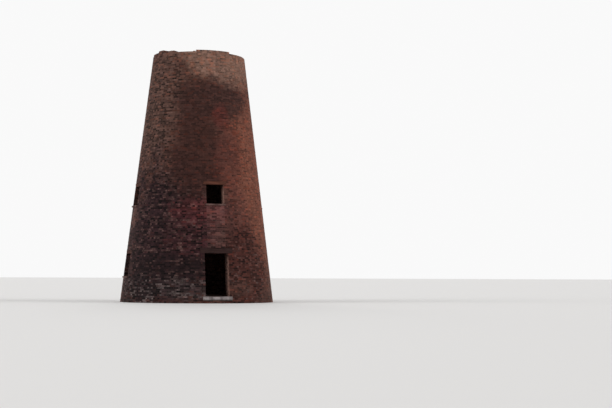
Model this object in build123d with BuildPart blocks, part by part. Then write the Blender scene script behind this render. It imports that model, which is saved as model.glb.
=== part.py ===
from build123d import *
import os
from collections import namedtuple
from math import ceil, cos, floor, radians, sin, sqrt

# Shell of a brick tower windmill, open at the top, in millimetres.
# The origin is on the tower's axis at ground level, +Z is up and -Y is the front.
# Azimuths are degrees round the tower from the front, growing towards +X.

# Brickwork, laid in courses of one brick and its bed joint
course = 84

# Tower wall, thinner in each storey, with a ledge inside where it steps back
base_radius = 3760
batter = 0.124  # how far the outer face leans in for each unit of height
ground_wall = 590
first_wall = 470
upper_wall = 350
ground_courses = 44
first_courses = 80
rim_courses = 146  # up to the highest part of the broken rim

# Broken rim: the azimuth where each stretch starts, and how many courses are gone there
rim_steps = (
    (-95, 1),
    (-76, 0),
    (-66, 2),
    (-59, 1),
    (-48, 2),
    (-19, 1),
    (25, 2),
    (108, 3),
    (121, 2),
    (143, 1),
    (152, 3),
    (176, 2),
    (201, 1),
    (214, 2),
    (240, 3),
    (252, 2),
)

# Doorways
door_width = 1175
door_sill = 320
door_head = 28 * course
door_lintel_depth = 3 * course
door_lintel_bearing = 200
door_timbers = 3
threshold_height = 185
threshold_depth = 330
threshold_bearing = 125
threshold_nosing = 15

# Windows
window_width = 880
ground_window_sill = 15 * course
ground_window_head = 28 * course
window_sill = 56 * course
window_head = 67 * course
window_lintel_depth = 2 * course
window_lintel_bearing = 120
window_timbers = 2
sill_height = course
sill_depth = 250
sill_bearing = 60
sill_nosing = 30

timber_gap = 6  # between the timbers that lie side by side in a lintel

# First floor
beam_width = 300
beam_depth = 300
beam_offset = 900  # from the tower's axis to the middle of each main beam
beam_bearing = 200
joist_width = 75
joist_depth = 175
joist_spacing = 600
board_width = 220
board_gap = 5
board_thickness = 30
floor_clearance = 10  # round the joists' ends and the boards' ends
hatch_boards = 4  # how many boards the hatch is cut through
hatch_gap = 2  # how many gaps between joists lie between the axis and the hatch

# Levels
ground_top = ground_courses * course
first_top = first_courses * course
rim_top = rim_courses * course
beam_bottom = ground_top - beam_depth
joist_top = ground_top + joist_depth
board_top = joist_top + board_thickness

# The slab under an opening, and each kind of opening with its storey's levels and wall
Slab = namedtuple("Slab", "height depth bearing nosing")
threshold = Slab(threshold_height, threshold_depth, threshold_bearing, threshold_nosing)
window_slab = Slab(sill_height, sill_depth, sill_bearing, sill_nosing)
Opening = namedtuple(
    "Opening",
    "label width sill head lintel_depth lintel_bearing timbers slab bottom top wall",
)
doorway = Opening(
    label="door",
    width=door_width,
    sill=door_sill,
    head=door_head,
    lintel_depth=door_lintel_depth,
    lintel_bearing=door_lintel_bearing,
    timbers=door_timbers,
    slab=threshold,
    bottom=0,
    top=ground_top,
    wall=ground_wall,
)
window = Opening(
    label="window",
    width=window_width,
    sill=window_sill,
    head=window_head,
    lintel_depth=window_lintel_depth,
    lintel_bearing=window_lintel_bearing,
    timbers=window_timbers,
    slab=window_slab,
    bottom=ground_top,
    top=first_top,
    wall=first_wall,
)
ground_window = window._replace(
    label="ground_window",
    sill=ground_window_sill,
    head=ground_window_head,
    bottom=0,
    top=ground_top,
    wall=ground_wall,
)

# The four sides of the tower, each a quarter of it with an opening in both lower storeys
side_azimuths = {"front": 0, "right": 90, "back": 180, "left": 270}
door_sides = ("front", "back")
ground_window_sides = ("right", "left")
full_turn = 360
side_angle = full_turn / len(side_azimuths)
outside = 2 * base_radius  # well clear of the wall


def outer_radius(height):
    """Radius of the wall's outer face."""
    return base_radius - batter * height


def chord_distance(radius, offset):
    """How far from the axis a circle lies, this far to one side."""
    return sqrt(radius**2 - offset**2)


def side_start(side):
    """Azimuth where a side begins."""
    return side_azimuths[side] - side_angle / 2


def radial_plane(azimuth):
    """Upright plane through the axis, its x running outwards at this azimuth."""
    turn = radians(azimuth)
    return Plane(
        origin=(0, 0, 0),
        x_dir=(sin(turn), -cos(turn), 0),
        z_dir=(-cos(turn), -sin(turn), 0),
    )


def side_plane(side, distance):
    """Upright plane that faces out from one side, this far from the axis."""
    turn = radians(side_azimuths[side])
    face = Plane(
        origin=(0, 0, 0),
        x_dir=(cos(turn), sin(turn), 0),
        z_dir=(sin(turn), -cos(turn), 0),
    )
    return face.offset(distance)


def save(builder, name):
    builder.part.label = name
    export_step(builder.part, f"parts/{name}.step")


def save_together(builders, name):
    """Like pieces on several sides, as one part of separate solids."""
    with BuildPart() as pieces:
        for builder in builders:
            add(builder.part)
    save(pieces, name)


def wall_ring(start, arc, bottom, top, thickness):
    """A stretch of the leaning round wall, between two azimuths and two heights."""
    with BuildPart() as ring:
        with BuildSketch(radial_plane(start)):
            with BuildLine():
                Polyline(
                    (outer_radius(bottom) - thickness, bottom),
                    (outer_radius(bottom), bottom),
                    (outer_radius(top), top),
                    (outer_radius(top) - thickness, top),
                    close=True,
                )
            make_face()
        revolve(axis=Axis.Z, revolution_arc=arc)
    return ring


def side_block(side, left, right, bottom, top, near=0, far=outside):
    """A block set square to one side, from near to far from the axis."""
    with BuildPart() as block:
        with BuildSketch(side_plane(side, near)):
            with Locations(((left + right) / 2, (bottom + top) / 2)):
                Rectangle(right - left, top - bottom)
        extrude(amount=far - near)
    return block


def wall_panel(side, left, right, bottom, top, thickness, pockets=()):
    """The part of a side's wall between left and right, less the pockets in it."""
    ring = wall_ring(side_start(side), side_angle, bottom, top, thickness)
    bounds = side_block(side, left, right, bottom, top)
    with BuildPart() as panel:
        add(ring.part)
        add(bounds.part, mode=Mode.INTERSECT)
        for pocket in pockets:
            add(pocket.part, mode=Mode.SUBTRACT)
    return panel


def opening_slab(side, opening):
    """Stone slab under an opening, its ends built into the wall."""
    slab = opening.slab
    reach = opening.width / 2 + slab.bearing
    bottom = opening.sill - slab.height
    face = outer_radius(bottom) + slab.nosing
    return side_block(side, -reach, reach, bottom, opening.sill, face - slab.depth, face)


def lintel_back(opening):
    """Where a lintel ends inside, level with the wall's inner face."""
    return outer_radius(opening.head + opening.lintel_depth) - opening.wall


def lintel_pocket(side, opening):
    reach = opening.width / 2 + opening.lintel_bearing
    top = opening.head + opening.lintel_depth
    return side_block(side, -reach, reach, opening.head, top, lintel_back(opening))


def lintel(side, opening):
    """Straight timbers side by side, the outer one flush with the wall at the jambs."""
    reach = opening.width / 2 + opening.lintel_bearing
    middle = opening.head + opening.lintel_depth / 2
    front = chord_distance(outer_radius(middle), opening.width / 2)
    back = lintel_back(opening)
    thickness = (front - back - (opening.timbers - 1) * timber_gap) / opening.timbers
    pitch = thickness + timber_gap
    with BuildPart() as timbers:
        for index in range(opening.timbers):
            with BuildSketch(side_plane(side, back + index * pitch)):
                with Locations((0, middle)):
                    Rectangle(2 * reach, opening.lintel_depth)
            extrude(amount=thickness)
    return timbers


def build_wall_round(side, opening, built_in=()):
    """The wall of one side and storey, in pieces round its opening."""
    slab = opening_slab(side, opening)
    half = opening.width / 2
    pockets = (slab, lintel_pocket(side, opening), *built_in)
    levels = (opening.bottom, opening.top, opening.wall)
    left = wall_panel(side, -outside, -half, *levels, pockets)
    save(left, f"{side}_wall_left_of_{opening.label}")
    right = wall_panel(side, half, outside, *levels, pockets)
    save(right, f"{side}_wall_right_of_{opening.label}")
    if opening is not doorway:
        levels = (opening.bottom, opening.sill, opening.wall)
        under = wall_panel(side, -half, half, *levels, (slab,))
        save(under, f"{side}_wall_under_{opening.label}")
    levels = (opening.head + opening.lintel_depth, opening.top, opening.wall)
    over = wall_panel(side, -half, half, *levels)
    save(over, f"{side}_wall_over_{opening.label}")


def main_beams():
    """Two beams under the first floor, with their ends built into the wall."""
    middle = ground_top - beam_depth / 2
    inner = chord_distance(outer_radius(middle) - ground_wall, beam_offset)
    with BuildPart() as beams:
        with BuildSketch(Plane.XY.offset(beam_bottom)):
            with Locations((0, -beam_offset), (0, beam_offset)):
                Rectangle(2 * (inner + beam_bearing), beam_width)
        extrude(amount=beam_depth)
    return beams


def sector(start, arc, bottom, top):
    """A flat-ended slice of the space round the axis, wider than the tower."""
    with BuildPart() as space:
        with BuildSketch(radial_plane(start)):
            with Locations((outside / 2, (bottom + top) / 2)):
                Rectangle(outside, top - bottom)
        revolve(axis=Axis.Z, revolution_arc=arc)
    return space


def build_upper_walls():
    """The wall above the first storey, up to its broken rim."""
    ring = wall_ring(0, full_turn, first_top, rim_top, upper_wall)
    starts = [start for start, gone in rim_steps]
    ends = starts[1:] + [starts[0] + full_turn]
    losses = [
        sector(start, end - start, rim_top - gone * course, rim_top + course)
        for (start, gone), end in zip(rim_steps, ends)
        if gone
    ]
    with BuildPart() as upper_ring:
        add(ring.part)
        for loss in losses:
            add(loss.part, mode=Mode.SUBTRACT)

    for side in side_azimuths:
        bounds = sector(side_start(side), side_angle, 0, rim_top + course)
        with BuildPart() as quarter:
            add(upper_ring.part)
            add(bounds.part, mode=Mode.INTERSECT)
        save(quarter, f"{side}_upper_wall")


def build_ground_floor():
    """Solid floor inside the wall, running out through each doorway."""
    half = door_width / 2
    passages = [side_block(side, -half, half, 0, door_sill) for side in door_sides]
    slabs = [opening_slab(side, doorway) for side in door_sides]
    with BuildPart() as ground_floor:
        for passage in passages:
            add(passage.part)
        with BuildSketch(radial_plane(0)):
            with BuildLine():
                Polyline(
                    (0, 0),
                    (outer_radius(0), 0),
                    (outer_radius(door_sill), door_sill),
                    (0, door_sill),
                    close=True,
                )
            make_face()
        revolve(axis=Axis.Z, mode=Mode.INTERSECT)
        with BuildSketch(radial_plane(0)):
            with BuildLine():
                Polyline(
                    (0, 0),
                    (outer_radius(0) - ground_wall, 0),
                    (outer_radius(door_sill) - ground_wall, door_sill),
                    (0, door_sill),
                    close=True,
                )
            make_face()
        revolve(axis=Axis.Z)
        for slab in slabs:
            add(slab.part, mode=Mode.SUBTRACT)
    save(ground_floor, "ground_floor")


def build_first_floor(beams):
    """Main beams, joists on them and on the ledge, and boards with a ladder hatch."""
    save(beams, "first_floor_beams")

    joist_reach = outer_radius(joist_top) - first_wall - floor_clearance
    side_joists = floor((joist_reach - joist_width) / joist_spacing)
    with BuildPart() as joists:
        with BuildSketch(Plane.XY.offset(ground_top)):
            for index in range(-side_joists, side_joists + 1):
                x = index * joist_spacing
                corner = abs(x) + joist_width / 2
                with Locations((x, 0)):
                    Rectangle(joist_width, 2 * chord_distance(joist_reach, corner))
        extrude(amount=joist_depth)
    save(joists, "first_floor_joists")

    board_reach = outer_radius(board_top) - first_wall - floor_clearance
    board_pitch = board_width + board_gap
    side_boards = ceil(board_reach / board_pitch)
    with BuildPart() as boards:
        with BuildSketch(Plane.XY.offset(joist_top)):
            with GridLocations(0, board_pitch, 1, 2 * side_boards):
                Rectangle(2 * board_reach, board_width)
            Circle(board_reach, mode=Mode.INTERSECT)
            with Locations(((hatch_gap + 0.5) * joist_spacing, 0)):
                Rectangle(
                    joist_spacing - joist_width,
                    hatch_boards * board_pitch,
                    mode=Mode.SUBTRACT,
                )
        extrude(amount=board_thickness)
    save(boards, "first_floor_boards")


os.makedirs("parts", exist_ok=True)
floor_beams = main_beams()
for opening, sides, slabs in (
    (doorway, door_sides, "door_thresholds"),
    (ground_window, ground_window_sides, "ground_window_sills"),
    (window, tuple(side_azimuths), "window_sills"),
):
    built_in = (floor_beams,) if opening is ground_window else ()
    for side in sides:
        build_wall_round(side, opening, built_in)
    save_together([lintel(side, opening) for side in sides], f"{opening.label}_lintels")
    save_together([opening_slab(side, opening) for side in sides], slabs)
build_upper_walls()
build_ground_floor()
build_first_floor(floor_beams)
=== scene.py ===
from math import asin, cos, exp, pi, radians, sin, sqrt

import bmesh
import bpy
import numpy as np
from mathutils import Matrix, Vector, noise


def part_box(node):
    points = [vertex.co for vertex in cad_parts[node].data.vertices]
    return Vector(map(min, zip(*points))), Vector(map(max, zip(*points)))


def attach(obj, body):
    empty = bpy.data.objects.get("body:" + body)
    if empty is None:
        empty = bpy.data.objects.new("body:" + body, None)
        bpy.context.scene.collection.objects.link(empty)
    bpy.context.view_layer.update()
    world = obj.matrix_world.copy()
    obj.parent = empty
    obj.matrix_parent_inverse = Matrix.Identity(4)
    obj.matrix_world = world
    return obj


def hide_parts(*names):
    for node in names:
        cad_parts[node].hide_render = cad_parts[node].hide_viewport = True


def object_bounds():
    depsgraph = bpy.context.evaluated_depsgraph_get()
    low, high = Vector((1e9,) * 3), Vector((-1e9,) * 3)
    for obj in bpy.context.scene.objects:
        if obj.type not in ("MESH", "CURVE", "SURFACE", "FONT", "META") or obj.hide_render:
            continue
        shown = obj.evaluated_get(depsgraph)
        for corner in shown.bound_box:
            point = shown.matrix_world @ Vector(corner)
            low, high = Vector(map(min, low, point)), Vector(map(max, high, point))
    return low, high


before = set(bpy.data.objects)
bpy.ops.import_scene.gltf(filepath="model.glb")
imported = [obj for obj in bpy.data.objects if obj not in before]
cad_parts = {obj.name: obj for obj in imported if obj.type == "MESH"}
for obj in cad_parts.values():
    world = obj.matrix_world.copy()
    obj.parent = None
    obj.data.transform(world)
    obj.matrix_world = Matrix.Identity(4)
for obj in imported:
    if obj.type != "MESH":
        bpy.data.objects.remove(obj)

# Dresses the shell of a brick tower windmill: each brick of its faces, the paving inside,
# the weathering with some painted light and shade, the lamps and the camera. Metres, with the
# tower's axis at the origin.
# Azimuths go round the tower from the front, which faces -Y, and grow towards +X.

cad_low, cad_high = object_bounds()
chance = np.random.default_rng(1863)

# Bricks and their joints
brick_long = 0.229
brick_wide = 0.109
joint = 0.011
header = brick_wide + joint
stretcher = brick_long + joint
closer_wide = 0.052
closer = closer_wide + joint
sink = 0.015  # how deep a facing brick reaches into the wall that carries it
proud_least = 0.0045
proud_most = 0.009
spalled_share = 0.03
spalled_proud = 0.0032
jamb_proud = 0.005
cap_rise = 0.004  # of a brick that shows its top over the bed behind it

# How far bricks stray from true: along their course, up, out of the face, and at a bare top
stray_along = 0.0015
stray_up = 0.0012
stray_out = 0.0008
stray_cap = 0.003
rim_lap = 0.01  # radians inside its ends at which a brick feels for the rim over it
closers_from = 8  # headers: a shorter stretch has no closers at its ends

# Storeys, read from the frame
base_radius = cad_high.x
rim_top = cad_high.z
ground_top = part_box("front_wall_over_door")[1].z
first_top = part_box("front_wall_over_window")[1].z
batter = (base_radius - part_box("right_wall_under_window")[1].x) / ground_top
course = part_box("window_sills")[1].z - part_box("window_sills")[0].z
brick_high = course - joint


def outer_radius(height):
    return base_radius - batter * height


def wall_thickness(bottom, top):
    """Found by a ray from the axis to the wall's inner face, clear of the openings."""
    start = Vector((0, 0, (bottom + top) / 2))
    graph = bpy.context.evaluated_depsgraph_get()
    place = bpy.context.scene.ray_cast(graph, start, Vector((1, 1, 0)))[1]
    return outer_radius(start.z) - place.xy.length


storeys = {
    name: (bottom, top, wall_thickness(bottom, top))
    for name, bottom, top in (
        ("ground", 0, ground_top),
        ("first", ground_top, first_top),
        ("upper", first_top, rim_top),
    )
}


def side_box(name, azimuth):
    """Corners of a node's pieces on one side, turned to the front."""
    turn = Matrix.Rotation(-azimuth, 3, "Z")
    points = [turn @ vertex.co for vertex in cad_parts[name].data.vertices]
    points = np.array([point for point in points if point.y < -abs(point.x)])
    return Vector(points.min(axis=0)), Vector(points.max(axis=0))


class Opening:
    """One kind of opening, with the slab under it and the lintel over it, as at the front."""

    def __init__(self, label, over, slabs, storey, azimuths):
        self.slabs = slabs
        self.lintels = f"{label}_lintels"
        self.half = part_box(over)[1][0 if azimuths[0] == 0 else 1]
        self.slab = side_box(slabs, azimuths[0])
        self.lintel = side_box(self.lintels, azimuths[0])
        self.sill = self.slab[1].z
        self.head = self.lintel[0].z
        self.wall = storeys[storey][2]
        self.azimuths = azimuths


door = Opening("door", "front_wall_over_door", "door_thresholds", "ground", (0, pi))
ground_window = Opening(
    "ground_window",
    "right_wall_over_ground_window",
    "ground_window_sills",
    "ground",
    (pi / 2, 3 * pi / 2),
)
window = Opening(
    "window", "front_wall_over_window", "window_sills", "first", (0, pi / 2, pi, 3 * pi / 2)
)
openings = (door, ground_window, window)

# Stretches without facing bricks: azimuth, bottom, top, half width, whether it is a passage
outer_gaps = []
inner_gaps = []
for opening in openings:
    for azimuth in opening.azimuths:
        slab_half = opening.slab[1].x + joint
        lintel_half = opening.lintel[1].x + joint
        lintel_top = opening.lintel[1].z
        outer_gaps += [
            (azimuth, opening.slab[0].z, opening.sill, slab_half, False),
            (azimuth, opening.sill, opening.head, opening.half, True),
            (azimuth, opening.head, lintel_top, lintel_half, False),
        ]
        inner_gaps.append((azimuth, opening.sill, lintel_top, opening.half, True))
strip_low = door.lintel[1].z
strip_high = window.slab[0].z
for azimuth in door.azimuths:
    outer_gaps.append((azimuth, strip_low, strip_high, window.half + joint / 2, False))

# The broken rim, found by rays cast down onto the top of the wall
rim_step = radians(0.5)
ray_start = rim_top + 1  # the height that the rays are cast from


def rim_height(azimuth):
    radius = outer_radius(rim_top) - storeys["upper"][2] / 2
    start = Vector((radius * sin(azimuth), -radius * cos(azimuth), ray_start))
    graph = bpy.context.evaluated_depsgraph_get()
    return bpy.context.scene.ray_cast(graph, start, Vector((0, 0, -1)))[1].z


rim_samples = round(2 * pi / rim_step)
rim = np.array([rim_height((index + 0.5) * rim_step) for index in range(rim_samples)])


def rim_at(azimuth):
    return rim[np.floor(np.mod(azimuth, 2 * pi) / rim_step).astype(int) % rim_samples]


# Meshes of bricks


def ring_points(azimuth, radius, height):
    azimuth, radius, height = np.broadcast_arrays(azimuth, radius, height)
    return np.stack((radius * np.sin(azimuth), -radius * np.cos(azimuth), height), axis=-1)


def unit(vectors):
    return vectors / np.linalg.norm(vectors, axis=-1, keepdims=True)


# A brick's corners: 0 to 3 at its back, 4 to 7 just behind its face, 8 to 11 round its face
brick_faces = np.array(
    (
        (8, 9, 10, 11),
        (4, 5, 9, 8),
        (5, 6, 10, 9),
        (6, 7, 11, 10),
        (7, 4, 8, 11),
        (0, 1, 5, 4),
        (1, 2, 6, 5),
        (2, 3, 7, 6),
        (3, 0, 4, 7),
        (3, 2, 1, 0),
    )
)
brick_corners = 12
arris = 0.003  # how much of each edge is worn away
arris_spread = (0.6, 1.5)  # times that
chipped_share = 0.07
chipped_arris = 0.009
chipped_spread = (0.7, 1.6)


def brick_piece(name, courses, material):
    """One mesh of separate bricks, each with worn edges and its own random tones."""
    front = np.concatenate([part[0] for part in courses])
    back = np.concatenate([part[1] for part in courses])
    count = len(front)
    normal = np.cross(front[:, 1] - front[:, 0], front[:, 3] - front[:, 0])
    flipped = (normal * (front.mean(axis=1) - back.mean(axis=1))).sum(axis=-1) < 0
    front[flipped] = front[flipped][:, [1, 0, 3, 2]]
    back[flipped] = back[flipped][:, [1, 0, 3, 2]]

    each = (count, 4, 1)
    wear = arris * chance.uniform(*arris_spread, each)
    chipped = chance.random(each) < chipped_share
    wear = np.where(chipped, chipped_arris * chance.uniform(*chipped_spread, each), wear)
    onward = unit(np.roll(front, -1, axis=1) - front)
    backward = unit(np.roll(front, 1, axis=1) - front)
    face = front + wear * (onward + backward)
    edge = front + wear * unit(back - front)

    points = np.concatenate((back, edge, face), axis=1).reshape(-1, 3)
    points = np.clip(points, cad_low, cad_high)
    first = brick_corners * np.arange(count)[:, None, None]
    faces = (brick_faces[None] + first).reshape(-1, 4)
    mesh = bpy.data.meshes.new(name)
    mesh.from_pydata(points.tolist(), [], faces.tolist())
    tones = np.ones((count, len(brick_faces), 4))
    tones[:, :, :3] = chance.random((count, 1, 3))
    colours = mesh.attributes.new("brick", "FLOAT_COLOR", "FACE")
    colours.data.foreach_set("color", tones.ravel())
    return add_piece(name, mesh, material)


def add_piece(name, mesh, material):
    piece = bpy.data.objects.new(name, mesh)
    bpy.context.scene.collection.objects.link(piece)
    mesh.materials.append(material)
    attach(piece, "root")
    return piece


# Layout of the wall's faces


def gaps_at(gaps, height):
    """Azimuth, half width and kind of the gaps that cross this height, in order round it."""
    return sorted(gap[:1] + gap[3:] for gap in gaps if gap[1] < height < gap[2])


def square_end(front, back, front_radius, gap, hand, out, depth):
    """Squares the end of a course at the side of a passage. hand is 1 past the passage."""
    azimuth, half = gap[:2]
    brick, corners = (0, (0, 3)) if hand > 0 else (-1, (1, 2))
    edge = half - jamb_proud
    outward = np.array((sin(azimuth), -cos(azimuth)))
    across = np.array((cos(azimuth), sin(azimuth)))
    for corner in corners:
        face = sqrt(front_radius[brick, corner] ** 2 - edge**2)
        front[brick, corner, :2] = outward * face + across * hand * edge
        back[brick, corner, :2] = outward * (face - out * depth) + across * hand * edge


def standing_spans(level):
    """Ranges of azimuth where the broken rim still reaches this level."""
    stands = rim > level
    starts = np.flatnonzero(stands & ~np.roll(stands, 1)) * rim_step
    ends = np.flatnonzero(~stands & np.roll(stands, 1)) * rim_step
    spans = []
    for start in starts:
        later = ends[ends > start]
        end = later.min() if len(later) else ends.min() + 2 * pi
        spans.append((start, end))
    return spans


def units_between(length, headers):
    """Lengths of brick and joint along a stretch with an end at each side."""
    ends = [header, closer] if headers and length > closers_from * header else []
    pitch = header if headers else stretcher
    count = max(1, round((length + joint - 2 * sum(ends)) / pitch))
    units = np.array(ends + [pitch] * count + ends[::-1])
    return units * (length + joint) / units.sum()


def units_round(length, headers):
    """Lengths of brick and joint round a whole course."""
    pairs = round(length / stretcher)
    count = 2 * pairs if headers else pairs
    return np.full(count, length / count)


def lay_course(index, radius_at, out, gaps, headers, depth, capped):
    """Front and back corners of the bricks of one course in one face of the wall.

    out is 1 on the outer face and -1 on the inner one. depth is a brick's own depth, which it
    has at a jamb or where its top shows, and capped says that the whole course shows its top.
    """
    low = index * course + joint / 2
    high = low + brick_high
    middle = (low + high) / 2
    radius = radius_at(middle)
    level_gaps = gaps_at(gaps, middle)
    whole = not level_gaps and (rim > middle).all()
    if whole:
        shift = header / 2 / radius if headers else 0
        spans = [(pi + shift, 3 * pi + shift)]
    elif level_gaps:
        later_gaps = level_gaps[1:] + [(level_gaps[0][0] + 2 * pi, *level_gaps[0][1:])]
        spans = [
            (near[0] + asin(near[1] / radius), far[0] - asin(far[1] / radius))
            for near, far in zip(level_gaps, later_gaps)
        ]
    else:
        lap = jamb_proud / radius
        spans = [(start - lap, end + lap) for start, end in standing_spans(middle)]

    courses = []
    for position, (start, end) in enumerate(spans):
        length = (end - start) * radius
        units = units_round(length, headers) if whole else units_between(length, headers)
        edges = np.concatenate(([0], np.cumsum(units)))
        begin = start + edges[:-1] / radius
        finish = start + (edges[1:] - joint) / radius
        count = len(units)
        azimuth = np.stack((begin, finish, finish, begin), axis=1)
        azimuth += chance.uniform(-stray_along, stray_along, (count, 4)) / radius
        heights = np.tile((low, low, high, high), (count, 1))
        heights += chance.uniform(-stray_up, stray_up, (count, 4))
        proud = chance.uniform(proud_least, proud_most, (count, 1))
        proud = proud + chance.uniform(-stray_out, stray_out, (count, 4))
        proud[chance.random(count) < spalled_share] = spalled_proud
        reach = np.full((count, 4), sink)

        top = np.minimum(rim_at(begin + rim_lap), rim_at(finish - rim_lap))
        bare = (top < high + course) | capped
        rise = chance.uniform(0, stray_cap, (bare.sum(), 1))
        heights[bare, 2:] += joint / 2 + cap_rise + rise
        heights = np.minimum(heights, rim_top - cap_rise)
        reach[bare] = depth

        front_radius = radius_at(heights) + out * proud
        back_radius = radius_at(heights) - out * reach
        front = ring_points(azimuth, front_radius, heights)
        back = ring_points(azimuth, back_radius, heights)
        if level_gaps:
            for gap, hand in ((level_gaps[position], 1), (later_gaps[position], -1)):
                if gap[2]:
                    square_end(front, back, front_radius, gap, hand, out, depth)
        courses.append((front, back))
    return courses


def half_bricks(thickness):
    return round(thickness / header)


def lay_storey(storey):
    """The facing bricks of one storey, outside and inside, in English bond."""
    bottom, top, thickness = storeys[storey]
    odd = half_bricks(thickness) % 2 == 1
    outer, inner = [], []
    for index in range(round(bottom / course), round(top / course)):
        headers = index % 2 == 0
        depth = brick_long if headers else brick_wide
        outer += lay_course(index, outer_radius, 1, outer_gaps, headers, depth, False)

        headers_inside = headers != odd
        depth = brick_long if headers_inside else brick_wide
        ledge = storey != "upper" and (index + 1) * course > top - course / 2
        inner += lay_course(
            index,
            lambda height: outer_radius(height) - thickness,
            -1,
            inner_gaps,
            headers_inside,
            brick_wide if ledge else depth,
            ledge,
        )
    return outer, inner


# The strips over the doorways: their bricks are thinner, rougher and set back a little
blocking_thinner = 0.003
blocking_stray = 0.002
blocking_set_back = 0.002


def lay_blocking():
    """The strips over the doorways that were bricked up later, straight joints at their sides."""
    sizes = [stretcher] * 3 + [header + closer / 2]
    bricks = []
    for index in range(round(strip_low / course), round(strip_high / course)):
        low = index * course + joint / 2
        high = low + brick_high - blocking_thinner
        row = sizes[::-1] if index % 2 else sizes
        edges = np.concatenate(([0], np.cumsum(row))) / sum(row) * 2 * window.half - window.half
        for near, far in zip(edges[:-1] + joint / 2, edges[1:] - joint / 2):
            stray = chance.uniform(-blocking_stray, blocking_stray, (2, 4))
            x = np.array((near, far, far, near)) + stray[0]
            z = np.array((low, low, high, high)) + stray[1]
            proud = chance.uniform(proud_least, proud_most - blocking_set_back)
            for side in (-1, 1):
                front, back = (
                    np.stack((x, side * np.sqrt((outer_radius(z) + gap) ** 2 - x**2), z), axis=-1)
                    for gap in (proud, -sink)
                )
                bricks.append((front[None], back[None]))
    return bricks


loose_share = 0.14  # of the places on the broken rim that still hold one more brick
loose_outer_share = 0.6  # of these, behind, that lie along the outer face
loose_outer_limit = -0.2  # the cosine of the azimuth from which the wall is behind
loose_twist = 0.06
loose_proud = 0.004


def lay_loose_bricks():
    """Single bricks that still stand, or lie, on the broken rim."""
    bricks = []
    radius = outer_radius(rim_top)
    count = round(2 * pi * radius / header)
    for index in range(count):
        azimuth = index * 2 * pi / count
        low = rim_at(azimuth) + joint / 2
        if chance.random() > loose_share or low + brick_high > rim_top:
            continue
        outer_half = chance.random() < loose_outer_share and cos(azimuth) < loose_outer_limit
        depth = brick_long if outer_half else brick_wide
        front_radius = outer_radius(low) if outer_half else radius - storeys["upper"][2] + depth
        twist = chance.uniform(-loose_twist, loose_twist)
        half = brick_wide / 2 / radius
        sides = np.array((-half, half, half, -half))
        heights = np.array((low, low, low + brick_high, low + brick_high))
        front = ring_points(azimuth + sides, front_radius + loose_proud, heights)
        back = ring_points(azimuth + twist + sides, front_radius - depth, heights)
        bricks.append((front[None], back[None]))
    return bricks


def lay_box(low, high, face):
    """Corners of one brick between two corners, its worn face towards this direction."""
    low, high = np.minimum(low, high), np.maximum(low, high)
    axis = int(np.argmax(np.abs(face)))
    ahead, behind = (high, low) if face[axis] > 0 else (low, high)
    others = [i for i in range(3) if i != axis]
    front, back = np.empty((1, 4, 3)), np.empty((1, 4, 3))
    for corner, (a, b) in enumerate(((0, 0), (1, 0), (1, 1), (0, 1))):
        for points, plane in ((front, ahead), (back, behind)):
            points[0, corner, axis] = plane[axis]
            points[0, corner, others[0]] = (low, high)[a][others[0]]
            points[0, corner, others[1]] = (low, high)[b][others[1]]
    return front, back


def turned(brick, azimuth):
    """A brick of the front, moved round the axis to another side."""
    turn = np.array(Matrix.Rotation(azimuth, 3, "Z"))
    return tuple(points @ turn.T for points in brick)


def lay_reveals(opening):
    """The bricks across the wall's thickness at the sides of a kind of opening."""
    bricks = []
    half = opening.half
    for index in range(round(opening.sill / course), round(opening.head / course)):
        low = index * course + joint / 2
        high = low + brick_high
        middle = (low + high) / 2
        headers = index % 2 == 0
        odd = half_bricks(opening.wall) % 2 == 1
        outer_depth = brick_long if headers else brick_wide
        inner_depth = brick_long if headers != odd else brick_wide
        start = sqrt(outer_radius(middle) ** 2 - half**2) - outer_depth - joint
        end = sqrt((outer_radius(middle) - opening.wall) ** 2 - half**2) + inner_depth + joint
        halves = round((start - end + joint) / header)
        if halves < 1:
            continue
        sizes = np.array([2] * (halves // 2) + [1] * (halves % 2))
        edges = start - np.concatenate(([0], np.cumsum(sizes))) * (start - end + joint) / halves
        for near, far in zip(edges[:-1], edges[1:] + joint):
            for azimuth in opening.azimuths:
                for hand in (-1, 1):
                    face = half - chance.uniform(proud_least, proud_most)
                    one = (hand * face, -near, low)
                    two = (hand * (half + sink), -far, high)
                    bricks.append(turned(lay_box(one, two, (-hand, 0, 0)), azimuth))
    return bricks


window_floor_proud = (0.002, 0.006)


def lay_window_floor(opening):
    """Headers on edge that floor a kind of window behind its sill."""
    bricks = []
    inside = sqrt((outer_radius(opening.sill) - opening.wall) ** 2 - opening.half**2)
    near = -opening.slab[1].y
    count = round(2 * opening.half / header)
    pitch = 2 * opening.half / count
    rows = round((near - inside) / stretcher)
    depth = (near - inside) / rows
    for azimuth in opening.azimuths:
        for row in range(rows):
            for index in range(count):
                left = -opening.half + index * pitch
                start = near - row * depth
                top = opening.sill + chance.uniform(*window_floor_proud)
                one = (left + joint / 2, -start + joint / 2, opening.sill - sink)
                two = (left + pitch - joint / 2, -start + depth - joint / 2, top)
                bricks.append(turned(lay_box(one, two, (0, 0, 1)), azimuth))
    return bricks


paving_joint = 0.007
paving_proud = (0.001, 0.006)
paving_lap = 0.06  # how far the middle of a brick may lie under the wall


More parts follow.
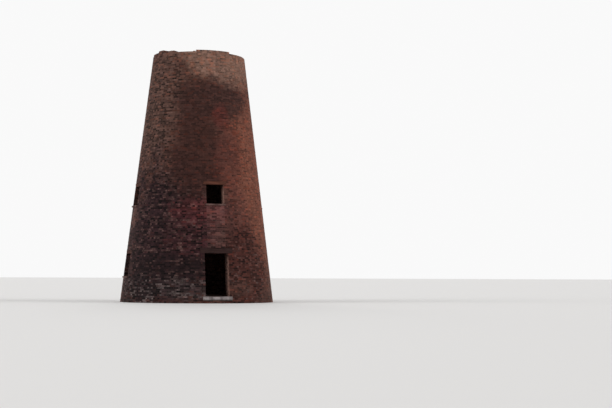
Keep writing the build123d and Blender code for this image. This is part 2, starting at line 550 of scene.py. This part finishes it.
def lay_paving():
    """Brick floor of the ground storey, with its passages out to both thresholds."""
    level = door.sill
    room = outer_radius(level) - door.wall
    threshold_back = -door.slab[1].y
    along, across = brick_long + paving_joint, brick_wide + paving_joint
    columns = round(room / along) + 1
    rows = round(threshold_back / across)
    bricks = []
    for row in range(-rows, rows):
        y = (row + 0.5) * across
        if abs(y) + across / 2 > threshold_back:
            continue
        for column in range(-columns, columns + 1):
            x = (column + 0.5 * (row % 2)) * along
            in_room = x**2 + y**2 < (room + paving_lap) ** 2
            if not in_room and abs(x) > door.half + brick_long / 2:
                continue
            top = level + chance.uniform(*paving_proud)
            one = (x - brick_long / 2, y - brick_wide / 2, level - sink)
            two = (x + brick_long / 2, y + brick_wide / 2, top)
            bricks.append(lay_box(one, two, (0, 0, 1)))
    return bricks


# Materials


def tint(red, green, blue):
    """A colour written as 0 to 255 values, as linear light."""
    linear = [
        c / 255 / 12.92 if c / 255 <= 0.04045 else ((c / 255 + 0.055) / 1.055) ** 2.4
        for c in (red, green, blue)
    ]
    return (*linear, 1)


class Nodes:
    """Short calls that add nodes to one tree and return their outputs."""

    def __init__(self, tree):
        self.tree = tree

    def add(self, kind, *values, output=0, **settings):
        node = self.tree.nodes.new(kind)
        for key, value in settings.items():
            setattr(node, key, value)
        for index, value in enumerate(values):
            self.put(node.inputs[index], value)
        return node.outputs[output]

    def put(self, socket, value):
        if isinstance(value, bpy.types.NodeSocket):
            self.tree.links.new(value, socket)
        elif value is not None:
            socket.default_value = value

    def math(self, operation, *values):
        return self.add("ShaderNodeMath", *values, operation=operation)

    def vector(self, operation, *values, output=0):
        return self.add("ShaderNodeVectorMath", *values, output=output, operation=operation)

    def blend(self, factor, start, end):
        """From start to end, evenly, while factor goes from 0 to 1."""
        return self.add("ShaderNodeMapRange", factor, 0, 1, start, end)

    def ramp(self, value, low, high, start=0, end=1):
        """A smooth change from start to end while value goes from low to high."""
        kind = "ShaderNodeMapRange"
        return self.add(kind, value, low, high, start, end, interpolation_type="SMOOTHSTEP")

    def noise(self, place, scale, detail=2, output=0):
        """Round 0.5, mostly from 0.3 to 0.7, with about scale spots to a metre."""
        return self.add("ShaderNodeTexNoise", place, None, scale, detail, output=output)

    def mix(self, factor, first, second, blend="MIX"):
        node = self.tree.nodes.new("ShaderNodeMix")
        node.data_type = "RGBA"
        node.blend_type = blend
        self.put(node.inputs[0], factor)
        self.put(node.inputs[6], first)
        self.put(node.inputs[7], second)
        return node.outputs[2]


# Timbers, as the CAD lays them
board_pitch = 0.225
joist_pitch = 0.6
timber_gap = 0.006

# Colours are 0 to 255 values
brick_red = (96, 62, 52)
brick_dull = (80, 54, 47)
lime = (184, 142, 128)
silvered = (1.35, 1.4, 1.45, 1)  # how weather bleaches wood
salts = (134, 101, 95)  # dried out on the bricks
splashed_salts = (146, 130, 127)  # near the ground
indoor_dust = (76, 60, 54)
strip_brick = (116, 80, 76)
earth = (48, 38, 34)
# How lime, a hot fire and an overburnt kiln change a brick's colour
bloomed = (2.1, 2.3, 2.25, 1)
redder = (1.32, 1, 0.88, 1)
burnt = (0.58, 0.6, 0.64, 1)
# Places of weather, painted shade and painted light: middle (azimuth, height), half sizes,
# strength, colour, share of pale flecks
places = (
    ((-64, 9.4), (38, 3.2), 0.95, (79, 57, 50), 0.7),
    # dark lower left, with the other dark places low on the left: stains, partly painted shade
    ((-46, 3.0), (58, 3.7), 1, (38, 23, 25), 0.9),
    # darker middle column: painted shade
    ((-18, 7.4), (26, 2.4), 0.85, (60, 36, 32), 0.15),
    # lighter right side: partly painted light
    ((48, 6.2), (30, 4.6), 0.85, (116, 71, 57), 0.1),
    ((2, 9.8), (44, 1.0), 0.9, (64, 41, 37), 0.2),
    ((8, 8.9), (9, 0.6), 0.5, (98, 46, 41), 0.1),
    ((16, 7.0), (14, 1.5), 0.5, (90, 48, 42), 0.1),
    ((2, 12.1), (44, 1.1), 0.9, (130, 100, 87), 0.2),
    ((19, 11.35), (24, 0.82), 0.85, (126, 96, 84), 0.2),
    ((52, 11.7), (34, 1.15), 0.9, (124, 93, 80), 0.1),
    ((-12, 4.35), (26, 0.6), 0.55, (94, 46, 47), 0.4),
    ((20, 3.4), (18, 1.8), 0.6, (82, 48, 44), 0.3),
    # lighter strip at the left edge, this place and the next: painted light
    ((-88, 2.9), (14, 3.4), 0.5, (60, 43, 42), 0.5),
    ((-88, 4.1), (7, 0.5), 0.4, (116, 84, 76), 0.5),
    ((-20, 3.3), (20, 1.3), 0.5, (60, 32, 34), 0.8),
    ((-34, 1.75), (46, 0.55), 0.6, (30, 20, 21), 0.4),
    ((-24, 0.65), (24, 0.45), 0.7, (54, 42, 42), 1),
    ((-70, 0.6), (24, 0.8), 0.5, (30, 23, 24), 0.8),
    # darker right of the doorway: partly painted shade
    ((24, 1.5), (26, 2.1), 0.85, (58, 30, 26), 0.7),
    ((18, 0.7), (11, 0.4), 0.5, (86, 60, 53), 0.2),
    ((150, 7.6), (30, 3.0), 0.8, (60, 43, 39), 0.2),
    ((-135, 3.8), (36, 3.2), 0.85, (52, 40, 40), 0.5),
    ((176, 11.8), (34, 0.9), 0.9, (124, 97, 84), 0.2),
    ((105, 3.0), (26, 2.6), 0.7, (100, 68, 58), 0.4),
    ((170, 1.0), (40, 0.6), 0.7, (66, 57, 55), 0.9),
    ((-120, 9.6), (26, 1.8), 0.7, (98, 75, 65), 0.6),
)


def split(nodes, vector):
    node = nodes.tree.nodes.new("ShaderNodeSeparateXYZ")
    nodes.put(node.inputs[0], vector)
    return node.outputs


def weathered_and_shaded_places():
    """A node group: the brickwork's colour, painted shade and light included, and share of pale
    flecks, by azimuth and height.
    """
    group = bpy.data.node_groups.new("weathered_and_shaded_places", "ShaderNodeTree")
    for name, kind in (("Colour", "Color"), ("Flecks", "Float")):
        group.interface.new_socket(name, in_out="OUTPUT", socket_type=f"NodeSocket{kind}")
    nodes = Nodes(group)
    place = nodes.add("ShaderNodeTexCoord", output=3)
    x, y, z = split(nodes, place)
    azimuth = nodes.math("ARCTAN2", x, nodes.math("MULTIPLY", y, -1))
    azimuth = nodes.math("MULTIPLY", azimuth, 180 / pi)
    spot = nodes.add("ShaderNodeCombineXYZ", azimuth, z)
    broad = nodes.noise(place, 0.9, 4)
    fine = nodes.noise(place, 4.5, 4)
    # Both noises lie round 0.5, so their sum here lies round 0 and frays the edges of the places
    ragged = nodes.math("MULTIPLY_ADD", broad, 1.3, -1.05)
    ragged = nodes.math("MULTIPLY_ADD", fine, 0.8, ragged)

    colour = nodes.mix(nodes.ramp(broad, 0.38, 0.62), tint(*brick_red), tint(*brick_dull))
    flecks = 0.25  # where no place covers the wall
    turn = (180, 1000, 1)  # azimuths go on from -180 at 180, and no height reaches 1000
    for middle, half, strength, paint, share in places:
        offset = nodes.vector("SUBTRACT", spot, (*middle, 0))
        offset = nodes.vector("WRAP", offset, turn, tuple(-value for value in turn))
        scaled = nodes.vector("DIVIDE", offset, (*half, 1))
        length = nodes.vector("LENGTH", scaled, output=1)
        cover = nodes.ramp(nodes.math("ADD", length, ragged), 0.6, 1.4, strength, 0)
        colour = nodes.mix(cover, colour, tint(*paint))
        flecks = nodes.blend(cover, flecks, share)

    side, end = 0.008, 0.02  # how softly the strip's sides and ends change
    within = nodes.ramp(nodes.math("ABSOLUTE", x), window.half + side, window.half - side)
    above = nodes.ramp(z, strip_low - end, strip_low)
    below = nodes.ramp(z, strip_high + end, strip_high)
    strip = nodes.math("MULTIPLY", nodes.math("MULTIPLY", within, above), below)
    colour = nodes.mix(nodes.math("MULTIPLY", strip, 0.25), colour, tint(*strip_brick))
    flecks = nodes.blend(strip, flecks, 0.6)

    streak_place = nodes.vector("MULTIPLY", spot, (0.4, 0.3, 1))
    streak = nodes.ramp(nodes.noise(streak_place, 1, 4), 0.3, 0.7, 0.9, 1.08)
    grey = nodes.add("ShaderNodeCombineColor", streak, streak, streak)
    colour = nodes.mix(1, colour, grey, "MULTIPLY")
    out = group.nodes.new("NodeGroupOutput")
    nodes.put(out.inputs[0], colour)
    nodes.put(out.inputs[1], flecks)
    return group


matt_shine = 0.15  # of old brick, stone and wood, which are rough and dusty


def new_material(name, roughness):
    material = bpy.data.materials.new(name)
    material.use_nodes = True
    nodes = Nodes(material.node_tree)
    shader = material.node_tree.nodes["Principled BSDF"]
    shader.inputs["Roughness"].default_value = roughness
    shader.inputs["Specular IOR Level"].default_value = matt_shine
    return material, nodes, shader


def finish_shader(nodes, shader, colour, relief, strength, distance):
    """Colour and fine relief of a surface."""
    nodes.put(shader.inputs["Base Color"], colour)
    bump = nodes.tree.nodes.new("ShaderNodeBump")
    bump.inputs["Strength"].default_value = strength
    bump.inputs["Distance"].default_value = distance
    nodes.put(bump.inputs["Height"], relief)
    nodes.put(shader.inputs["Normal"], bump.outputs[0])


def limewash(nodes, place):
    """How much limewash is left on the sides of the doorways and windows, the right-hand sides
    paler with painted light.
    """
    x, y, z = split(nodes, place)
    geometry = nodes.tree.nodes.new("ShaderNodeNewGeometry")
    facing = split(nodes, geometry.outputs["Normal"])[0]
    sideways = nodes.ramp(nodes.math("ABSOLUTE", facing), 0.8, 0.95)
    edge, blur = 0.004, 0.016  # past the doorway's sides, where it ends
    near = nodes.ramp(nodes.math("ABSOLUTE", x), door.half + edge + blur, door.half + edge)
    outdoors = nodes.math("LESS_THAN", z, window.head)
    lit_right_hand = nodes.math("GREATER_THAN", nodes.math("MULTIPLY", facing, y), 0)
    strength = nodes.blend(lit_right_hand, 0.35, 0.9)  # more on the right of who looks in: partly painted light on the sides that face the light
    patchy = nodes.ramp(nodes.noise(place, 7, 5), 0.36, 0.56, 0.35, 1)
    radius = nodes.vector("LENGTH", nodes.vector("MULTIPLY", place, (1, 1, 0)), output=1)
    depth = nodes.math("SUBTRACT", nodes.math("MULTIPLY_ADD", z, -batter, base_radius), radius)
    inwards = nodes.ramp(depth, 0.2, 0.46, 1, 0.1)  # little of it further in
    heads = [nodes.math("SUBTRACT", z, opening.head) for opening in (door, window)]
    under_head = nodes.math("MINIMUM", *(nodes.math("ABSOLUTE", head) for head in heads))
    fading_under_heads = nodes.ramp(under_head, 0.05, 0.3, 0.25, 1)  # less of it close under the lintels, so darker there
    rubbed = nodes.blend(nodes.math("GREATER_THAN", heads[0], 0), 0.7, 1)  # by hands, in doorways
    cover = nodes.math("MULTIPLY", sideways, near)
    for factor in (outdoors, strength, patchy, inwards, fading_under_heads, rubbed):
        cover = nodes.math("MULTIPLY", cover, factor)
    return cover


def weather_and_shade_at(nodes):
    group = nodes.tree.nodes.new("ShaderNodeGroup")
    group.node_tree = weather
    return group.outputs


def brickwork(name, indoors):
    """Bricks: places of weather and of painted light and shade, then each brick's own tone, then
    pores and flecks.
    """
    material, nodes, shader = new_material(name, roughness=0.9)
    place = nodes.add("ShaderNodeTexCoord", output=3)
    colour, flecks = weather_and_shade_at(nodes)
    if indoors:
        colour = nodes.mix(0.6, colour, tint(*indoor_dust))
    own = nodes.tree.nodes.new("ShaderNodeSeparateColor")
    nodes.put(own.inputs[0], nodes.add("ShaderNodeAttribute", attribute_name="brick"))
    tone, pale, hue = own.outputs
    colour = nodes.mix(nodes.ramp(hue, 0.7, 1), colour, nodes.mix(1, colour, redder, "MULTIPLY"))
    colour = nodes.mix(nodes.ramp(hue, 0.24, 0), colour, nodes.mix(1, colour, burnt, "MULTIPLY"))
    mottle = nodes.noise(place, 28, 4)
    pores = nodes.ramp(mottle, 0.3, 0.7, -0.13, 0.13)
    contrast = nodes.math("MULTIPLY_ADD", flecks, 2, 0.4)
    level = nodes.math("MULTIPLY_ADD", nodes.math("SUBTRACT", tone, 0.5), contrast, 1)
    level = nodes.math("MAXIMUM", nodes.math("ADD", level, pores), 0.1)
    grey = nodes.add("ShaderNodeCombineColor", level, level, level)
    colour = nodes.mix(1, colour, grey, "MULTIPLY")
    edge = nodes.math("MULTIPLY_ADD", flecks, -0.6, 0.98)
    bloom = nodes.ramp(nodes.math("SUBTRACT", pale, edge), 0, 0.6)
    bloom = nodes.math("MULTIPLY", bloom, nodes.ramp(mottle, 0.38, 0.6, 0.3, 1))
    clusters = nodes.ramp(nodes.noise(place, 3.2, 3), 0.36, 0.62, 0.15, 1)
    bloom = nodes.math("MULTIPLY", bloom, clusters)
    splashed = nodes.ramp(split(nodes, place)[2], 1.5, 0.9)  # by rain, up to these heights
    dried = nodes.mix(splashed, tint(*salts), tint(*splashed_salts))
    colour = nodes.mix(nodes.math("MULTIPLY", bloom, 0.7), colour, dried)
    colour = nodes.mix(limewash(nodes, place), colour, tint(*lime))
    relief = nodes.noise(place, 160, 3)
    finish_shader(nodes, shader, colour, relief, strength=0.5, distance=0.004)
    return material


def mortar():
    """Old lime mortar, coloured as the bricks round it are, painted shade and light included."""
    material, nodes, shader = new_material("mortar", roughness=0.95)
    place = nodes.add("ShaderNodeTexCoord", output=3)
    colour, flecks = weather_and_shade_at(nodes)
    clean = nodes.ramp(nodes.noise(place, 6, 5), 0.3, 0.7, 0.95, 0.2)
    clean = nodes.math("MULTIPLY", clean, nodes.math("MULTIPLY_ADD", flecks, 0.5, 0.6))
    colour = nodes.mix(clean, colour, nodes.mix(1, colour, bloomed, "MULTIPLY"))
    colour = nodes.mix(limewash(nodes, place), colour, tint(*lime))
    relief = nodes.noise(place, 110, 4)
    finish_shader(nodes, shader, colour, relief, strength=0.6, distance=0.006)
    return material


# How fast wood changes along X, Y and Z: slowly along its grain, fast across it
grain_along_x = (1.2, 22, 22)
grain_along_y = (22, 1.2, 22)


def wood_shader(material, nodes, shader, place, shade, stretch, pale, dark, bleached=1):
    """Weathered wood: place gives its grain, and shade, from 0 to 1, its own tone."""
    shift = nodes.add("ShaderNodeCombineXYZ", nodes.math("MULTIPLY", shade, 9))
    grain_place = nodes.vector("ADD", nodes.vector("MULTIPLY", place, stretch), shift)
    grain = nodes.noise(grain_place, 1.6, 6)
    colour = nodes.mix(nodes.ramp(grain, 0.32, 0.68), tint(*pale), tint(*dark))
    level = nodes.ramp(shade, 0, 1, 0.72, 1.22)
    grey = nodes.add("ShaderNodeCombineColor", level, level, level)
    colour = nodes.mix(1, colour, grey, "MULTIPLY")
    stain = nodes.ramp(nodes.noise(place, 2.2, 5), 0.45, 0.7, 0, bleached)
    colour = nodes.mix(stain, colour, nodes.mix(1, colour, silvered, "MULTIPLY"))
    finish_shader(nodes, shader, colour, grain, strength=0.7, distance=0.008)
    return material


def timber(name, pale, dark, along, pitch, offset=0):
    """Floor timbers with their grain along X (0) or Y (1).

    Each board or joist has its own tone: they follow each other at this pitch, across the grain.
    """
    material, nodes, shader = new_material(name, roughness=0.85)
    place = nodes.add("ShaderNodeTexCoord", output=3)
    across = split(nodes, place)[1 - along]
    index = nodes.math("FLOOR", nodes.math("DIVIDE", nodes.math("SUBTRACT", across, offset), pitch))
    shade = nodes.add("ShaderNodeTexWhiteNoise", None, index, noise_dimensions="1D")
    stretch = grain_along_x if along == 0 else grain_along_y
    return wood_shader(material, nodes, shader, place, shade, stretch, pale, dark)


def lintel_timber(name, pale, dark):
    """Timbers whose own places and tones are stored in their mesh, the grain along X there."""
    material, nodes, shader = new_material(name, roughness=0.85)
    place = nodes.add("ShaderNodeAttribute", output=1, attribute_name="own_place")
    shade = nodes.add("ShaderNodeAttribute", output=2, attribute_name="own_tone")
    return wood_shader(material, nodes, shader, place, shade, grain_along_x, pale, dark, 0.3)


soiled_low, soiled_high = 0.025, 0.07  # over a slab's foot


def stone(name, pale, dark, foot=-1):
    """Worn stone, mottled pale and dark, and earth along its foot."""
    material, nodes, shader = new_material(name, roughness=0.9)
    place = nodes.add("ShaderNodeTexCoord", output=3)
    colour = nodes.mix(nodes.ramp(nodes.noise(place, 5, 6), 0.35, 0.68), tint(*pale), tint(*dark))
    height = split(nodes, place)[2]
    soiled = nodes.ramp(height, foot + soiled_low, foot + soiled_high, 0.75, 0)
    colour = nodes.mix(soiled, colour, tint(*earth))
    relief = nodes.noise(place, 60, 5)
    finish_shader(nodes, shader, colour, relief, strength=0.6, distance=0.006)
    return material


# the brickwork's colour by place: weather, painted shade and painted light
weather = weathered_and_shaded_places()
outside_brick = brickwork("weathered_shaded_brick", False)
inside_brick = brickwork("dusty_shaded_brick", True)
old_mortar = mortar()
# the door lintel's very dark oak: its own dark wood, partly painted shade over the doorway's head
dark_shaded_lintel_wood = lintel_timber("lintel_oak", (72, 48, 45), (44, 30, 29))
window_wood = lintel_timber("window_oak", (92, 54, 42), (58, 35, 28))
beam_wood = timber("beam_oak", (92, 75, 60), (58, 46, 38), 0, 2 * base_radius, -base_radius)
board_wood = timber("board_pine", (104, 86, 68), (66, 52, 42), 0, board_pitch)
joist_wood = timber("joist_pine", (96, 78, 62), (60, 47, 38), 1, joist_pitch, -joist_pitch / 2)
threshold_stone = stone("threshold_stone", (166, 156, 155), (112, 104, 104), door.slab[0].z)
sill_stone = stone("sill_stone", (110, 84, 79), (72, 53, 50))

# Lintels, thresholds and sills, hewn or worn out of true within the CAD blocks
block_cell = 0.05
block_wear = (1, 1, 2.2, 3)  # how much more wears away inside a face, on an edge, at a corner
tread_half = 0.3  # where feet wear a slab hollow
touching = 1e-5
timber_wear = 0.003
stone_wear = 0.0025
alike = 40  # metres of noise to choose from, so that no two blocks wear or look alike


def worn_block(low, high, wear, dip):
    """A block cut into small cells and drawn inwards by uneven wear, most along its edges."""
    builder = bmesh.new()
    made = bmesh.ops.create_cube(builder, size=1)
    size = high - low
    for vert in made["verts"]:
        vert.co = Vector([low[i] + (vert.co[i] + 0.5) * size[i] for i in range(3)])
    for axis in range(3):
        cells = max(2, round(size[axis] / block_cell))
        normal = Vector([float(i == axis) for i in range(3)])
        for cut in range(1, cells):
            start = low + normal * size[axis] * cut / cells
            block = [*builder.verts, *builder.edges, *builder.faces]
            bmesh.ops.bisect_plane(builder, geom=block, plane_co=start, plane_no=normal)
    builder.normal_update()
    shift = Vector(chance.uniform(-alike, alike, 3))
    moved = []
    for vert in builder.verts:
        sides = sum(min(vert.co[i] - low[i], high[i] - vert.co[i]) < touching for i in range(3))
        place = vert.co + shift
        dents, pits = noise.noise(place * 9), abs(noise.noise(place * 31))
        rough = 0.75 + 0.5 * dents + 0.3 * pits
        depth = wear * rough * block_wear[sides]
        on_top = vert.co.z > high.z - touching
        hollow = dip * exp(-((vert.co.x / tread_half) ** 2)) if on_top else 0
        moved.append(vert.co - vert.normal * depth - Vector((0, 0, hollow)))
    faces = [[vert.index for vert in face.verts] for face in builder.faces]
    builder.free()
    return moved, faces


def side_by_side(low, high, count):
    """Boxes of the timbers that lie side by side through the wall."""
    thickness = (high.y - low.y - (count - 1) * timber_gap) / count
    for index in range(count):
        start = low.y + index * (thickness + timber_gap)
        yield Vector((low.x, start, low.z)), Vector((high.x, start + thickness, high.z))


def add_blocks(node, name, azimuths, count, material, slot, wear, dip=0):
    """One piece for the worn or hewn blocks of a node, on all its sides."""
    points, faces, places, tones = [], [], [], []
    for azimuth in azimuths:
        turn = Matrix.Rotation(azimuth, 3, "Z")
        for low, high in side_by_side(*side_box(node, azimuth), count):
            block_points, block_faces = worn_block(low, high, wear, dip)
            faces += [[len(points) + index for index in face] for face in block_faces]
            shift = Vector(chance.uniform(-alike / 2, alike / 2, 3))
            points += [turn @ point for point in block_points]
            places += [point + shift for point in block_points]
            tones += [chance.random()] * len(block_points)
    mesh = bpy.data.meshes.new(name)
    mesh.from_pydata(points, [], faces)
    own_place = mesh.attributes.new("own_place", "FLOAT_VECTOR", "POINT")
    own_place.data.foreach_set("vector", np.array(places).ravel())
    own_tone = mesh.attributes.new("own_tone", "FLOAT", "POINT")
    own_tone.data.foreach_set("value", np.array(tones))
    piece = add_piece(name, mesh, material)
    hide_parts(node)


# For each kind of opening: timbers in a lintel, their wood, the slab's stone, how it is trodden
blocks = {
    door: (3, dark_shaded_lintel_wood, threshold_stone, 0.012),
    ground_window: (2, window_wood, sill_stone, 0.004),
    window: (2, window_wood, sill_stone, 0.004),
}
for opening, (count, wood, material, dip) in blocks.items():
    sizes = (opening.azimuths, count, wood, "lintel_timber", timber_wear)
    add_blocks(opening.lintels, f"worn_{opening.lintels}", *sizes)
    sizes = (opening.azimuths, 1, material, "stone", stone_wear, dip)
    add_blocks(opening.slabs, f"worn_{opening.slabs}", *sizes)


node_materials = {
    door.lintels: dark_shaded_lintel_wood,
    ground_window.lintels: window_wood,
    window.lintels: window_wood,
    door.slabs: threshold_stone,
    ground_window.slabs: sill_stone,
    window.slabs: sill_stone,
    "first_floor_beams": beam_wood,
    "first_floor_joists": joist_wood,
    "first_floor_boards": board_wood,
}
for name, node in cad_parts.items():
    node.data.materials.clear()
    node.data.materials.append(node_materials.get(name, old_mortar))

for storey in storeys:
    outer, inner = lay_storey(storey)
    brick_piece(f"{storey}_outer_bricks", outer, outside_brick)
    brick_piece(f"{storey}_inner_bricks", inner, inside_brick)
reveals = [brick for opening in openings for brick in lay_reveals(opening)]
reveals += lay_window_floor(ground_window) + lay_window_floor(window)
brick_piece("bricked_up_strips", lay_blocking(), outside_brick)
brick_piece("loose_rim_bricks", lay_loose_bricks(), outside_brick)
brick_piece("reveal_bricks", reveals, inside_brick)
brick_piece("ground_paving", lay_paving(), inside_brick)

# Camera, at the photograph's place: 65 m from the axis, eyes 1.3 m above the ground
camera_azimuth = radians(-15.4)
camera_distance = 65
eye_height = 1.3
camera_yaw = radians(4.7464)
camera_pitch = radians(3.1554)
camera_roll = radians(0.2531)
camera_lens = 76.83
sensor_width = 36
view_depth = 2000
lamp_spread = 40
floor_half = 600
floor_paint = (0.76, 0.75, 0.74, 1)
sky_light = 0.5  # how strongly the sky lights
sky_seen = 0.95  # and how bright it looks


def place_camera():
    level = cos(camera_pitch)
    forward = Vector((sin(camera_yaw) * level, cos(camera_yaw) * level, sin(camera_pitch)))
    right = Vector((cos(camera_yaw), -sin(camera_yaw), 0))
    up = right.cross(forward)
    across = cos(camera_roll) * right + sin(camera_roll) * up
    rise = cos(camera_roll) * up - sin(camera_roll) * right
    turn = Matrix((across, rise, -forward)).transposed().to_4x4()
    data = bpy.data.cameras.new("camera")
    data.lens = camera_lens
    data.sensor_width = sensor_width
    data.clip_end = view_depth
    camera = bpy.data.objects.new("camera", data)
    bpy.context.scene.collection.objects.link(camera)
    start = Matrix.Translation((0, -camera_distance, eye_height)) @ turn
    camera.matrix_world = Matrix.Rotation(camera_azimuth, 4, "Z") @ start
    bpy.context.scene.camera = camera


def add_lamp(name, azimuth, elevation, strength):
    """A very soft far lamp, so that the floor is as bright everywhere."""
    data = bpy.data.lights.new(name, "SUN")
    data.angle = radians(lamp_spread)
    data.energy = strength
    lamp = bpy.data.objects.new(name, data)
    bpy.context.scene.collection.objects.link(lamp)
    lamp.rotation_euler = (radians(90 - elevation), 0, radians(azimuth))


def add_floor():
    half = floor_half
    mesh = bpy.data.meshes.new("floor")
    corners = [(-half, -half, 0), (half, -half, 0), (half, half, 0), (-half, half, 0)]
    mesh.from_pydata(corners, [], [(0, 1, 2, 3)])
    floor = bpy.data.objects.new("floor", mesh)
    bpy.context.scene.collection.objects.link(floor)
    material, nodes, shader = new_material("pale_floor", roughness=0.9)
    shader.inputs["Base Color"].default_value = floor_paint
    mesh.materials.append(material)


def light_world():
    """White to look at, a soft grey sky to be lit by."""
    world = bpy.data.worlds.new("sky")
    bpy.context.scene.world = world
    world.use_nodes = True
    tree = world.node_tree
    tree.nodes.clear()
    nodes = Nodes(tree)
    path = tree.nodes.new("ShaderNodeLightPath")
    seen = nodes.math("MAXIMUM", path.outputs["Is Camera Ray"], path.outputs["Is Glossy Ray"])
    seen = nodes.math("MAXIMUM", seen, path.outputs["Is Transmission Ray"])
    strength = nodes.blend(seen, sky_light, sky_seen)
    shine = tree.nodes.new("ShaderNodeBackground")
    shine.inputs["Color"].default_value = (1, 1, 1, 1)
    nodes.put(shine.inputs["Strength"], strength)
    out = tree.nodes.new("ShaderNodeOutputWorld")
    nodes.put(out.inputs["Surface"], shine.outputs[0])


place_camera()
add_floor()
light_world()
add_lamp("left_lamp", -85, 28, 1.05)
add_lamp("right_lamp", 60, 25, 1.1)
add_lamp("back_lamp", 170, 30, 0.8)
bpy.context.scene.view_settings.view_transform = "Standard"
